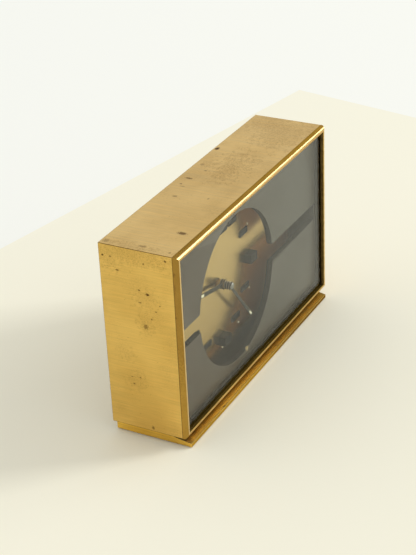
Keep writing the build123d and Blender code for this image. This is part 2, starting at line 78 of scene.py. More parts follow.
# The table, whose far corner is behind the clock, and the ground just under it
TABLE_TONE = (0.92, 0.905, 0.77, 1)
TABLE_CORNER = Vector((0.446, 0.152, 0.0))
TABLE_TURN = math.radians(-11.0)
TABLE_SIDE = 4.0
GROUND_TONE = (0.925, 0.943, 0.905, 1)
GROUND_HALF = 5.0
GROUND_DROP = 0.05 * MM
STAGE_ROUGHNESS = 0.9

# Widths of the broken edges
CASE_EDGE = 0.25 * MM
PLINTH_EDGE = 0.35 * MM
SMALL_EDGE = 0.15 * MM
HAND_EDGE = 0.06 * MM
BLOCK_EDGE = 0.3 * MM
DOT_EDGE = 0.3 * MM
RING_EDGE = 0.25 * MM
FINE_SEGMENTS = 3

# The mask's opening: the slot's top lies this far over the hands' axis
MASK_SLOT_TOP = 5.4 * MM
MASK_SLOT_RAISE = 0.8 * MM
MASK_CHAMFER = 1.5 * MM
MASK_BORDER = 2.0 * MM
MASK_NEAR = 0.1 * MM
OPENING_RADIUS = 48.5 * MM

# The hands and the rings on their collars
MINUTE_WIDER = 0.3
LUME_LONGER = 0.7 * MM
COLLAR_REACH = 3.3 * MM
MINUTE_RING = 2.6 * MM
HOUR_RING = 3.2 * MM
RING_FROM = 2.4 * MM
GROOVE_DEPTH = 0.3 * MM
GROOVE_NEAR = 0.05 * MM
GROOVE_CUT = 0.5 * MM

# The slots in the screws of the back
SCREW_SLOT_DEPTH = 0.5 * MM
SCREW_SLOT_WIDTH = 0.8 * MM
SCREW_SLOT_LENGTH = 12.0 * MM
SCREW_SLOT_TURNS = [math.radians(turn) for turn in (25, 70, -40, 10)]

# The bezel's section, and which faces along it are the lip, counted from its outer side
BEZEL_RADIUS = 2.8 * MM
BEZEL_INNER_RADIUS = 0.4 * MM
ARC_STEPS = 16
TOP_LIP_FROM = 7
LIP_FROM = 13
LIP_TO = 20
RIGHT_LIP_TO = 2 * ARC_STEPS + 1

# Limits for edges that are sharp, faces that are flat and the way that a face looks
SHARP_EDGE = math.radians(25)
BEVEL_FROM = math.radians(35)
FLAT_WITHIN = math.radians(1)
WELD = 1e-6
FACING = 0.5
FULLY_FACING = 0.9

# Stains, worn patches and painted shade on the brass, in millimetres in the clock's frame: centre, half
# sizes, strength
# On the top and the plinth these are (x, y)
TOP_STAINS = [
    ((-72.2, -13.2), (1.7, 3.2), 0.8),
    ((40.5, 22.9), (2.3, 1.5), 1.0),
    ((-5.6, 18.3), (1.0, 2.8), 0.75),
    ((-31.1, 14.0), (1.3, 1.7), 0.45),
    ((-14.5, 19.0), (0.8, 0.9), 0.6),
    ((-17.2, 16.4), (0.7, 1.8), 0.35),
    ((7.8, 14.0), (0.8, 1.0), 0.6),
    ((-26.7, -6.0), (1.2, 0.7), 0.4),
    ((-94.5, -0.4), (1.2, 2.8), 0.45),
    ((-96.0, 21.9), (2.2, 2.2), 0.4),
    ((-95.6, -18.1), (1.0, 0.8), 0.5),
    ((15.5, 20.3), (1.6, 1.6), 0.35),
]
# Worn patches on the top; the two at its right end are painted shade, darkening that end
TOP_WEAR_AND_SHADE = [
    ((20.0, 1.0), (26.0, 13.0), 0.65),
    ((17.0, 19.0), (8.0, 4.0), 0.45),
    ((78.0, -6.0), (30.0, 20.0), 0.5),
    ((90.0, 12.0), (16.0, 14.0), 0.4),
    ((-96.0, 5.0), (4.0, 20.0), 0.5),
]
# Painted shade darkening the right half of the plinth's front
PLINTH_SIDE_SHADE = [
    ((85.0, -29.0), (75.0, 40.0), 0.8),
]
# Stains on the plinth's slope; the long oval on its right is painted shade
PLINTH_SLOPE_STAINS_AND_SHADE = [
    ((-54.0, -25.4), (1.3, 1.0), 0.8),
    ((70.0, -25.0), (62.0, 12.0), 0.3),
    ((-96.0, -23.0), (4.0, 3.0), 0.5),
]
# On the left side and the bezel's left bar these are (y, z), and they fade before the right side
LEFT_SIDE = -100.0
LEFT_REACH = 120.0
LEFT_STAINS = [
    ((0.4, 100.8), (0.8, 0.6), 0.8),
    ((-4.9, 99.1), (1.4, 0.9), 0.96),
    ((0.4, 93.0), (1.1, 0.4), 0.72),
    ((-9.6, 89.1), (0.6, 0.6), 0.64),
    ((-12.4, 93.3), (0.5, 0.5), 0.72),
    ((-2.4, 78.0), (1.6, 1.8), 0.56),
    ((-6.5, 83.6), (0.6, 0.6), 0.64),
    ((3.7, 42.7), (0.7, 0.5), 0.72),
    ((9.3, 41.9), (0.8, 0.4), 0.56),
    ((8.2, 37.5), (0.9, 0.5), 0.72),
    ((-2.4, 9.7), (1.0, 1.4), 0.64),
    ((13.7, 110.8), (1.2, 0.6), 0.72),
    ((-3.5, 118.0), (0.6, 0.6), 0.72),
    ((-17.4, 122.5), (1.0, 0.7), 0.8),
    ((22.6, 118.6), (0.7, 0.7), 0.96),
    ((17.6, 118.6), (0.9, 0.5), 0.64),
]
LEFT_PATCHES = [
    ((0.0, 122.0), (30.0, 7.0), 0.5),
    ((18.0, 118.0), (9.0, 9.0), 0.5),
    ((-3.0, 80.0), (6.0, 8.0), 0.5),
    ((-3.0, 96.0), (10.0, 8.0), 0.4),
    ((12.0, 57.0), (6.0, 5.0), 0.35),
    ((6.0, 40.0), (8.0, 7.0), 0.4),
]
# On the bezel's left bar: the two long ovals are painted shade over the bar and along its seam, the small
# ones are stains
BEZEL_STAINS_AND_SHADE = [
    ((-23.0, 104.0), (9.0, 62.0), 0.3),
    ((-22.0, 90.0), (0.6, 75.0), 0.4),
    ((-22.2, 115.3), (1.4, 1.6), 0.6),
    ((-22.4, 107.0), (1.2, 2.4), 0.5),
    ((-22.2, 103.5), (1.0, 1.2), 0.5),
    ((-22.2, 88.0), (0.9, 1.0), 0.6),
    ((-22.2, 68.3), (1.0, 0.8), 0.4),
    ((-22.2, 46.9), (0.9, 0.9), 0.4),
]
# A lighter spot in the black of the mask, on the lower rim of its opening, as (x, y, z)
MASK_LIGHT_SPOTS = [
    ((-10.8, -19.4, 18.6), (2.0, 1.9, 2.0), 1.0),
]

# Noise cells to the metre, one number or one for each axis
BRUSH_FINE = (4200.0, 90.0, 4200.0)
BRUSH_COARSE = (1100.0, 22.0, 1100.0)
BRASS_CLOUDS = 28.0
WORN_CLOUDS = 45.0
WEAR_AND_SHADE_EDGE = 330.0
PITS = (1500.0, 900.0, 1500.0)
SPECKS = (1300.0, 650.0, 1300.0)
SPECK_GROUPS = 70.0
STAIN_AND_SHADE_EDGE = 1400.0
HAIRLINES = (2600.0, 2600.0, 140.0)
POLISH_CLOUDS = 60.0
POLISH_SPECKS = 520.0
POLISH_STAIN_AND_SHADE_EDGE = 900.0
LIGHT_SPOT_EDGE = 600.0

# The parts of a noise, or of a distance, over which a mark comes in, and what it comes to
NOISE_BAND = (0.3, 0.7)
RAGGED_BAND = (0.2, 0.8)
RAGGED_SPREAD = 0.45
WEAR_AND_SHADE_SPREAD = 0.8
MARK_BAND = (1.15, 0.55)
STREAK_BAND = (0.7, 1.3)
STREAK_TONES = (0.89, 1.08)
WORN_BAND = (0.5, 0.7)
PIT_BAND = (0.42, 0.70)
PIT_STRENGTHS = (0.14, 0.95)
SPECK_BAND = (0.66, 0.74)
SPECK_STRENGTHS = (0.0, 0.5)
SPECK_GROUP_BAND = (0.42, 0.6)
POLISH_CLOUD_BAND = (0.35, 0.7)
POLISH_SPECK_BAND = (0.64, 0.74)
FADE_ACROSS = (-90.0 * MM, 70.0 * MM)

# Roughness and relief of the brass and of a grain
BRUSHED_SMOOTHER = 0.05
BRUSHED_ROUGHER = 0.06
BRUSHED_MARK_ROUGHER = 0.2
BRUSH_RELIEF = 0.22
BRUSH_DEPTH = 0.06 * MM
HAIRLINE_ROUGHER = 0.05
POLISHED_MARK_ROUGHER = 0.3
COAT_ROUGHNESS = 0.12
GRAIN_DEPTH = 0.05 * MM


def colour(red, green, blue):
    return (red, green, blue, 1.0)


WHITE = colour(1.0, 1.0, 1.0)
# Brown of stains and of tarnish, both also used to paint shade
STAIN_AND_SHADE_BROWN = colour(0.12, 0.06, 0.018)
TARNISH_AND_SHADE = colour(0.30, 0.175, 0.045)
LIGHT_SPOT_TONE = colour(0.44, 0.35, 0.17)
GRAZING_BRASS = colour(0.85, 0.65, 0.35)
GLASS_TINT = colour(0.97, 0.985, 0.975)
GLASS_LIGHT = colour(0.92, 0.94, 0.93)
GLASS_INDEX = 1.2


class Shader:
    """A material's node tree, with short ways to add a node and to wire it."""

    def __init__(self, name):
        self.material = bpy.data.materials.new(name)
        self.material.use_nodes = True
        self.tree = self.material.node_tree
        self.surface = self.tree.nodes["Principled BSDF"]
        self.place = self.add("TexCoord").outputs["Object"]

    def put(self, socket, value):
        if isinstance(value, bpy.types.NodeSocket):
            self.tree.links.new(value, socket)
        else:
            socket.default_value = value

    def add(self, kind, inputs=None, **settings):
        node = self.tree.nodes.new("ShaderNode" + kind)
        for key, value in settings.items():
            setattr(node, key, value)
        for key, value in (inputs or {}).items():
            self.put(node.inputs[key], value)
        return node

    def set(self, **values):
        """Set the surface's sockets, named with _ for a space."""
        for key, value in values.items():
            self.put(self.surface.inputs[key.replace("_", " ")], value)

    def math(self, operation, first, second=0.0):
        return self.add("Math", {0: first, 1: second}, operation=operation).outputs[0]

    def noise(self, cells, detail=2.0, rough=0.5):
        """Noise with this many cells to the metre, one number or one for each axis."""
        scale = cells if isinstance(cells, tuple) else (cells, cells, cells)
        place = self.add("Mapping", {"Vector": self.place, "Scale": scale}).outputs[0]
        inputs = {"Vector": place, "Scale": 1.0, "Detail": detail, "Roughness": rough}
        return self.add("TexNoise", inputs).outputs["Fac"]

    def fit(self, value, band=NOISE_BAND, to=(0.0, 1.0), smooth=True):
        """A value that lies in a band, fitted to a new range and held there."""
        inputs = {0: value, 1: band[0], 2: band[1], 3: to[0], 4: to[1]}
        kind = "SMOOTHSTEP" if smooth else "LINEAR"
        return self.add("MapRange", inputs, interpolation_type=kind).outputs[0]

    def mix(self, share, first, second, blend="MIX"):
        node = self.add("Mix", data_type="RGBA", blend_type=blend)
        for index, value in ((0, share), (6, first), (7, second)):
            self.put(node.inputs[index], value)
        return node.outputs[2]

    def bump(self, height, strength, distance):
        inputs = {"Height": height, "Strength": strength, "Distance": distance}
        self.set(Normal=self.add("Bump", inputs).outputs[0])

    def oval(self, centre, half):
        """How far a place is from an oval's centre, 1 on its edge.

        A half size of None makes the oval run right through along that axis.
        """
        scale = tuple(0.0 if h is None else 1 / (h * MM) for h in half)
        shift = tuple(0.0 if h is None else -c / h for c, h in zip(centre, half))
        inputs = {"Vector": self.place, "Scale": scale, "Location": shift}
        local = self.add("Mapping", inputs).outputs[0]
        return self.add("VectorMath", {0: local}, operation="LENGTH").outputs["Value"]

    def marks(self, ovals, edge_cells, spread=RAGGED_SPREAD):
        """The strongest of these ovals at each place, their edges soft and made ragged by a noise."""
        ragged = self.fit(self.noise(edge_cells, detail=4.0, rough=0.6), RAGGED_BAND, (-spread, spread))
        result = 0.0
        for centre, half, strength in ovals:
            reach = self.math("ADD", self.oval(centre, half), ragged)
            result = self.math("MAXIMUM", result, self.fit(reach, MARK_BAND, (0.0, strength)))
        return result

    def with_light_spots(self, tone, light_spots):
        """A tone with lighter spots."""
        return self.mix(self.marks(light_spots, LIGHT_SPOT_EDGE), tone, LIGHT_SPOT_TONE) if light_spots else tone


def brushed_brass(name, light, dark, rough, stains_and_shade=(), wear_and_shade=(), speckle=0.3, grazing=WHITE):
    """Old brass, brushed along the depth, clouded, pitted where it is worn and stained brown, and darkened
    where its patches and ovals are painted shade.
    """
    s = Shader(name)
    fine = s.noise(BRUSH_FINE)
    coarse = s.noise(BRUSH_COARSE)
    brush = s.math("ADD", fine, coarse)
    brass = s.mix(s.fit(s.noise(BRASS_CLOUDS, detail=3.0)), light, dark)
    brass = s.mix(1.0, brass, s.fit(brush, STREAK_BAND, STREAK_TONES, smooth=False), "MULTIPLY")
    clouds = s.fit(s.noise(WORN_CLOUDS), WORN_BAND, (0.0, speckle))
    # Worn clouds and patches; some of the patches are painted shade
    worn = s.math("MAXIMUM", clouds, s.marks(wear_and_shade, WEAR_AND_SHADE_EDGE, WEAR_AND_SHADE_SPREAD))
    pits = s.fit(s.noise(PITS, detail=4.0, rough=0.65), PIT_BAND, PIT_STRENGTHS)
    specks = s.fit(s.noise(SPECKS), SPECK_BAND, SPECK_STRENGTHS)
    specks = s.math("MULTIPLY", specks, s.fit(s.noise(SPECK_GROUPS), SPECK_GROUP_BAND))
    pits = s.math("MAXIMUM", s.math("MULTIPLY", worn, pits), specks)
    # Tarnish in the worn pits, and painted shade where a patch is painted shade
    brass = s.mix(pits, brass, TARNISH_AND_SHADE)
    spots = s.marks(stains_and_shade, STAIN_AND_SHADE_EDGE)
    marks = s.math("MAXIMUM", pits, spots)
    # Brown stains, and painted shade where an oval is painted shade
    s.set(Base_Color=s.mix(spots, brass, STAIN_AND_SHADE_BROWN), Metallic=1.0, Specular_Tint=grazing)
    sheen = s.fit(coarse, to=(rough - BRUSHED_SMOOTHER, rough + BRUSHED_ROUGHER))
    s.set(Roughness=s.math("ADD", sheen, s.math("MULTIPLY", marks, BRUSHED_MARK_ROUGHER)))
    s.bump(s.math("SUBTRACT", brush, marks), BRUSH_RELIEF, BRUSH_DEPTH)
    return s.material


def polished_brass(name, light, dark, rough, tarnish=0.45, lacquer=0.0, stains_and_shade=()):
    """Polished brass with hairlines, faint clouds and tarnished specks, bare or under clear lacquer, with
    brown ovals of stain and of painted shade.
    """
    s = Shader(name)
    brass = s.mix(s.fit(s.noise(POLISH_CLOUDS, detail=4.0, rough=0.6), POLISH_CLOUD_BAND), light, dark)
    specks = s.fit(s.noise(POLISH_SPECKS, detail=3.0, rough=0.6), POLISH_SPECK_BAND, (0.0, tarnish))
    marks = s.math("MAXIMUM", specks, s.marks(stains_and_shade, POLISH_STAIN_AND_SHADE_EDGE))
    s.set(Base_Color=s.mix(marks, brass, STAIN_AND_SHADE_BROWN), Metallic=1.0)
    s.set(Coat_Weight=lacquer, Coat_Roughness=COAT_ROUGHNESS, Specular_Tint=GRAZING_BRASS)
    sheen = s.fit(s.noise(HAIRLINES), to=(rough, rough + HAIRLINE_ROUGHER))
    s.set(Roughness=s.math("ADD", sheen, s.math("MULTIPLY", marks, POLISHED_MARK_ROUGHER)))
    return s.material


def grained(name, light, dark, cells, rough, metal=0.0, bump=0.1, spread=0.06, shine=0.5, light_spots=()):
    """A plain material whose tone, roughness and surface vary with one noise."""
    s = Shader(name)
    grain = s.noise(cells, detail=3.0, rough=0.6)
    tone = s.with_light_spots(s.mix(s.fit(grain), light, dark), light_spots)
    s.set(Base_Color=tone, Metallic=metal, Specular_IOR_Level=shine)
    s.set(Roughness=s.fit(grain, to=(rough - spread, rough + spread)))
    if bump:
        s.bump(grain, bump, GRAIN_DEPTH)
    return s.material


def faded(name, left, right, rough, shine, light_spots=()):
    """A smooth coat that fades from one tone to another along the clock's width, with no grain; on the mask
    the fade is a painted reflection.
    """
    s = Shader(name)
    across = s.add("SeparateXYZ", {0: s.place}).outputs["X"]
    tone = s.with_light_spots(s.mix(s.fit(across, FADE_ACROSS), left, right), light_spots)
    s.set(Base_Color=tone, Roughness=rough, Specular_IOR_Level=shine)
    return s.material


def clear_glass(name):
    """Float glass that lets light from the room, and what metal mirrors, pass through it unbent."""
    s = Shader(name)
    s.set(Base_Color=GLASS_TINT, Transmission_Weight=1.0, Roughness=0.0, IOR=GLASS_INDEX)
    path = s.add("LightPath")
    through = s.math("MAXIMUM", path.outputs["Is Shadow Ray"], path.outputs["Is Diffuse Ray"])
    mirrored = s.math("SUBTRACT", path.outputs["Is Glossy Ray"], path.outputs["Is Transmission Ray"])
    through = s.math("MAXIMUM", through, mirrored)
    clear = s.add("BsdfTransparent", {"Color": GLASS_LIGHT})
    mixed = s.add("MixShader", {0: through, 1: s.surface.outputs[0], 2: clear.outputs[0]})
    s.put(s.tree.nodes["Material Output"].inputs["Surface"], mixed.outputs[0])
    return s.material


def on_top(ovals):
    """Ovals given as (x, y), which run right through along z."""
    return [
        ((x, y, 0.0), (half_x, half_y, None), strength)
        for (x, y), (half_x, half_y), strength in ovals
    ]


def on_left(ovals):
    """Ovals given as (y, z), which lie on the left side and fade along x."""
    return [
        ((LEFT_SIDE, y, z), (LEFT_REACH, half_y, half_z), strength)
        for (y, z), (half_y, half_z), strength in ovals
    ]


# Brass of the case, the plinth and the back: one brass in tones set face by face, whose lighter and darker
# copies paint in how the light falls on the top, the sides and the plinth's front, slope and ends
TOP_BRASS = brushed_brass(
    "brushed_brass_top", colour(0.80, 0.57, 0.225), colour(0.70, 0.48, 0.175), rough=0.40,
    stains_and_shade=on_top(TOP_STAINS), wear_and_shade=on_top(TOP_WEAR_AND_SHADE),
)
SIDE_BRASS = brushed_brass(
    "brushed_brass_side", colour(0.80, 0.535, 0.15), colour(0.70, 0.45, 0.115), rough=0.38,
    stains_and_shade=on_left(LEFT_STAINS), wear_and_shade=on_left(LEFT_PATCHES),
)
PLINTH_SIDE_BRASS = brushed_brass(
    "brushed_brass_plinth", colour(0.53, 0.345, 0.058), colour(0.47, 0.295, 0.047), rough=0.38,
    stains_and_shade=on_top(PLINTH_SIDE_SHADE), grazing=GRAZING_BRASS,
)
# A lighter copy for the plinth's ends: painted light
PLINTH_END_BRASS = brushed_brass(
    "brushed_brass_plinth_end", colour(0.88, 0.57, 0.105), colour(0.78, 0.49, 0.085), rough=0.38,
    speckle=0.2, grazing=GRAZING_BRASS,
)
# A darker copy for the plinth's slope: painted shade
PLINTH_SLOPE_BRASS = brushed_brass(
    "plinth_brass", colour(0.39, 0.262, 0.062), colour(0.34, 0.22, 0.05), rough=0.36,
    stains_and_shade=on_top(PLINTH_SLOPE_STAINS_AND_SHADE), grazing=GRAZING_BRASS,
)
COVER_BRASS = brushed_brass(
    "cover_brass", colour(0.62, 0.44, 0.18), colour(0.55, 0.38, 0.15), rough=0.42, speckle=0.2,
)
EDGE_BRASS = polished_brass(
    "worn_edge_brass", colour(0.78, 0.57, 0.22), colour(0.62, 0.42, 0.14), rough=0.25,
)
SEAM_BRASS = polished_brass(
    "seam_brass", colour(0.20, 0.11, 0.03), colour(0.14, 0.075, 0.02), rough=0.4,
)
# Darker brass: painted shade on the case's bottom, in the gap over the plinth, and a darker tone on the
# rebates of the bezel's top and left bars
DARK_BRASS = polished_brass(
    "brass_darkened", colour(0.16, 0.10, 0.03), colour(0.11, 0.065, 0.02), rough=0.5,
)

# Brass of the bezel: its round edges, its lips and its rebates, in tones set bar by bar; the lighter lips
# are a painted highlight along the inner edge, and the darker round edges are painted shade
BEZEL_BRASS = polished_brass(
    "bezel_brass", colour(0.46, 0.27, 0.05), colour(0.40, 0.23, 0.04), rough=0.15,
    tarnish=0.5, lacquer=0.1, stains_and_shade=on_left(BEZEL_STAINS_AND_SHADE),
)
BOTTOM_BRASS = polished_brass(
    "bezel_bottom_brass", colour(0.58, 0.39, 0.10), colour(0.50, 0.33, 0.08), rough=0.2,
    tarnish=0.5, lacquer=0.2,
)
LIP_BRASS = polished_brass(
    "lip_brass", colour(0.76, 0.56, 0.26), colour(0.70, 0.49, 0.20), rough=0.16,
    tarnish=0.2, lacquer=1.0,
)
TOP_LIP_BRASS = polished_brass(
    "top_lip_brass", colour(0.58, 0.39, 0.16), colour(0.52, 0.34, 0.14), rough=0.16,
    tarnish=0.2, lacquer=0.3,
)
BOTTOM_LIP_BRASS = polished_brass(
    "bottom_lip_brass", colour(0.58, 0.455, 0.235), colour(0.52, 0.40, 0.20), rough=0.16,
    tarnish=0.2, lacquer=0.5,
)
RIGHT_LIP_BRASS = grained(
    "front_brass", colour(0.66, 0.45, 0.13), colour(0.46, 0.29, 0.07), 420.0, rough=0.5,
    metal=0.4, shine=0.3,
)
BOTTOM_REBATE_BRASS = polished_brass(
    "bottom_rebate_brass", colour(0.27, 0.18, 0.045), colour(0.21, 0.135, 0.033), rough=0.5,
)
RIGHT_REBATE_BRASS = grained(
    "rebate_brass", colour(0.24, 0.155, 0.04), colour(0.13, 0.08, 0.02), 420.0, rough=0.6,
    metal=0.25, shine=0.2,
)

# Behind the glass
GLASS = clear_glass("clear_glass")
DIAL_BRASS = grained(
    "dial_satin_brass", colour(0.655, 0.45, 0.16), colour(0.60, 0.40, 0.135), (160.0, 3000.0, 4200.0),
    rough=0.24, metal=1.0, bump=0.0, spread=0.02,
)
# Browner on the left and greyer on the right: a painted reflection
PANEL_BLACK = faded(
    "black_panel", colour(0.044, 0.028, 0.013), colour(0.037, 0.031, 0.020), rough=0.28, shine=0.29,
    light_spots=MASK_LIGHT_SPOTS,
)
EDGE_BLACK = grained(
    "mask_edge", colour(0.012, 0.010, 0.007), colour(0.017, 0.014, 0.010), 900.0, rough=0.7,
    bump=0.0, shine=0.05, light_spots=MASK_LIGHT_SPOTS,
)
# A light brass back that stands in for light bounced from the dial onto it, which the dial mirrors: painted
# bounce light
MASK_BACK = grained("mask_back", colour(0.92, 0.69, 0.30), colour(0.84, 0.61, 0.25), 700.0, rough=0.7)
SPACER_BLACK = faded(
    "spacer_black", colour(0.012, 0.007, 0.001), colour(0.009, 0.006, 0.001), rough=0.8, shine=0.0,
)
LACQUER = grained(
    "black_lacquer", colour(0.012, 0.011, 0.009), colour(0.020, 0.017, 0.013), 1600.0, rough=0.45,
    shine=0.05,
)
# A lighter, browner copy of the black lacquer: a painted reflection of the dial's brass in the hands
HAND_LACQUER = grained(
    "hand_lacquer", colour(0.034, 0.030, 0.020), colour(0.042, 0.037, 0.026), 1600.0, rough=0.45,
    shine=0.1,
)
COLLAR_STEEL = grained(
    "dark_steel", colour(0.30, 0.285, 0.25), colour(0.36, 0.34, 0.30), 1500.0, rough=0.3,
    metal=1.0, bump=0.0, spread=0.04,
)
NUT_STEEL = grained(
    "nut_steel", colour(0.30, 0.29, 0.26), colour(0.24, 0.23, 0.21), 1500.0, rough=0.16,
    metal=1.0, bump=0.0, spread=0.04,
)
DOT_LUME = grained("dot_filling", colour(0.78, 0.68, 0.45), colour(0.64, 0.55, 0.34), 2400.0, rough=0.7)
LUME = grained("luminous_filling", colour(0.80, 0.75, 0.52), colour(0.66, 0.60, 0.40), 2400.0, rough=0.7)

# The works and the pad
MOVEMENT_BRASS = grained(
    "movement_brass", colour(0.72, 0.55, 0.26), colour(0.64, 0.48, 0.22), (2000.0, 2000.0, 300.0),
    rough=0.32, metal=1.0,
)
STEEL = grained(
    "turned_steel", colour(0.55, 0.55, 0.55), colour(0.45, 0.45, 0.46), 1500.0, rough=0.3, metal=1.0,
)
RUBBER = grained(
    "pad_rubber", colour(0.035, 0.028, 0.022), colour(0.055, 0.045, 0.036), 1800.0, rough=0.8, bump=0.3,
)
MAGNET = grained("magnet", colour(0.09, 0.09, 0.10), colour(0.14, 0.14, 0.15), 1200.0, rough=0.5, metal=0.6)
COPPER = grained(
    "copper_winding", colour(0.55, 0.22, 0.09), colour(0.32, 0.11, 0.04), (400.0, 5200.0, 400.0),
    rough=0.35, metal=1.0, bump=0.6,
)
LEAD_RED = grained("lead_plastic", colour(0.36, 0.05, 0.04), colour(0.28, 0.04, 0.03), 900.0, rough=0.5)
HOLDER_BLACK = grained(
    "holder_plastic", colour(0.03, 0.03, 0.03), colour(0.05, 0.05, 0.05), 1700.0, rough=0.5,
)
BOARD_BROWN = grained(
    "board_laminate", colour(0.30, 0.18, 0.07), colour(0.24, 0.14, 0.05), 500.0, rough=0.5,
)
CELL_GREY = grained(
    "cell_wrap", colour(0.20, 0.22, 0.25), colour(0.26, 0.28, 0.31), 300.0, rough=0.35, metal=0.3,
)


def piece(name, mesh, body, nodes, materials):
    """A new object that rides on a body and stands for these nodes."""
    obj = bpy.data.objects.new(name, mesh)
    bpy.context.scene.collection.objects.link(obj)
    for material in materials:
        mesh.materials.append(material)
    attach(obj, body)
    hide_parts(*nodes)
    return obj


def paint(obj, choose):
    """Give each face of a piece the material whose number choose returns for it."""
    for face in obj.data.polygons:
        face.material_index = choose(face)


def smooth_where_round(mesh):
    """Shade a mesh smooth, apart from its sharp edges."""
    for face in mesh.polygons:
        face.use_smooth = True
    mesh.set_sharp_from_angle(angle=SHARP_EDGE)


def break_edges(shape, edges, width, segments, material):
    """Bevel these edges, with this material's number on the new faces."""
    bmesh.ops.bevel(
        shape, geom=edges, offset=width, offset_type="OFFSET", segments=segments, profile=0.5,
        affect="EDGES", clamp_overlap=True, material=material,
    )


def sharp_edges(shape):
    return [e for e in shape.edges if e.is_manifold and e.calc_face_angle(0.0) > BEVEL_FROM]


def from_axis(place):
    """How far a place is from the hands' axis."""
    return math.hypot(place.x - AXIS.x, place.z - AXIS.z)


def on_collar(edge):
    """Whether an edge is one of the outer edges of the rings on a hand's collar."""
    reach = [from_axis(vertex.co) for vertex in edge.verts]
    return edge.is_convex and RING_FROM < min(reach) and max(reach) < COLLAR_REACH


def cut_grooves(shape):
    """Cut the grooves between the rings of a hand's collar deeper, so that the rings stand out."""
    floors = [ring - GROOVE_DEPTH for ring in (MINUTE_RING, HOUR_RING)]
    for vertex in shape.verts:
        aside = Vector((vertex.co.x - AXIS.x, 0.0, vertex.co.z - AXIS.z))
        if any(abs(aside.length - floor) < GROOVE_NEAR for floor in floors):
            vertex.co -= aside.normalized() * GROOVE_CUT


def open_mask(shape):
    """Raise the top of the mask's slot, and chamfer the back of the opening to thin its wall."""
    low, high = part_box("mask_panel")
    for vertex in shape.verts:
        at_top = abs(vertex.co.z - AXIS.z - MASK_SLOT_TOP) < MASK_NEAR
        if at_top and from_axis(vertex.co) > OPENING_RADIUS - MASK_NEAR:
            vertex.co.z += MASK_SLOT_RAISE

    def at_back(vertex):
        return (
            high.y - vertex.co.y < MASK_NEAR
            and low.x + MASK_BORDER < vertex.co.x < high.x - MASK_BORDER
            and low.z + MASK_BORDER < vertex.co.z < high.z - MASK_BORDER
        )

    edges = [e for e in shape.edges if e.is_convex and all(at_back(v) for v in e.verts)]
    break_edges(shape, edges, MASK_CHAMFER, 1, 0)


def widen_minute_hand(shape):
    """Make the minute hand a little wider, and its luminous tip longer towards the hub."""
    tip = sum(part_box("minute_hand_lume"), Vector()) / 2 - AXIS
    along = Vector((tip.x, 0.0, tip.z)).normalized()
    across = along.cross(Vector((0.0, 1.0, 0.0)))
    for vertex in shape.verts:
        aside = vertex.co - AXIS
        if math.hypot(aside.x, aside.z) > COLLAR_REACH:
            vertex.co += across * aside.dot(across) * MINUTE_WIDER
            if aside.dot(along) < tip.dot(along):
                vertex.co -= along * LUME_LONGER


def bevelled(node, body, width, materials, segments=2, ringed=False, reshape=None):
    """The node's own shape with its sharp edges broken, and the last material on those edges."""
    shape = bmesh.new()
    shape.from_mesh(NODES[node].data)
    bmesh.ops.remove_doubles(shape, verts=shape.verts, dist=WELD)
    bmesh.ops.dissolve_limit(shape, angle_limit=FLAT_WITHIN, verts=shape.verts, edges=shape.edges)
    for face in shape.faces:
        face.material_index = 0
    if reshape:
        reshape(shape)
    if ringed:
        cut_grooves(shape)
    edge_material = len(materials) - 1
    plain = [e for e in sharp_edges(shape) if not (ringed and on_collar(e))]
    break_edges(shape, plain, width, segments, edge_material)
    if ringed:
        rings = [e for e in sharp_edges(shape) if on_collar(e)]
        break_edges(shape, rings, RING_EDGE, segments, edge_material)
    mesh = bpy.data.meshes.new(node + "_finished")
    shape.to_mesh(mesh)
    shape.free()
    smooth_where_round(mesh)
    return piece(node + "_finished", mesh, body, [node], materials)


def rounded_outline(corners):
    """Points round an outline of (point, radius) corners, and which spans between them are round."""
    points, spans = [], []
    count = len(corners)
    for index, (corner, radius) in enumerate(corners):
        corner = Vector(corner)
        if radius == 0:
            points.append(corner)
            spans.append(False)
            continue
        before = (Vector(corners[index - 1][0]) - corner).normalized()
        after = (Vector(corners[(index + 1) % count][0]) - corner).normalized()
        middle = corner + (before + after) * radius
        for step in range(ARC_STEPS + 1):
            turn = math.pi / 2 * step / ARC_STEPS
            points.append(middle - after * radius * math.cos(turn) - before * radius * math.sin(turn))
            spans.append(step < ARC_STEPS)
    return points, spans


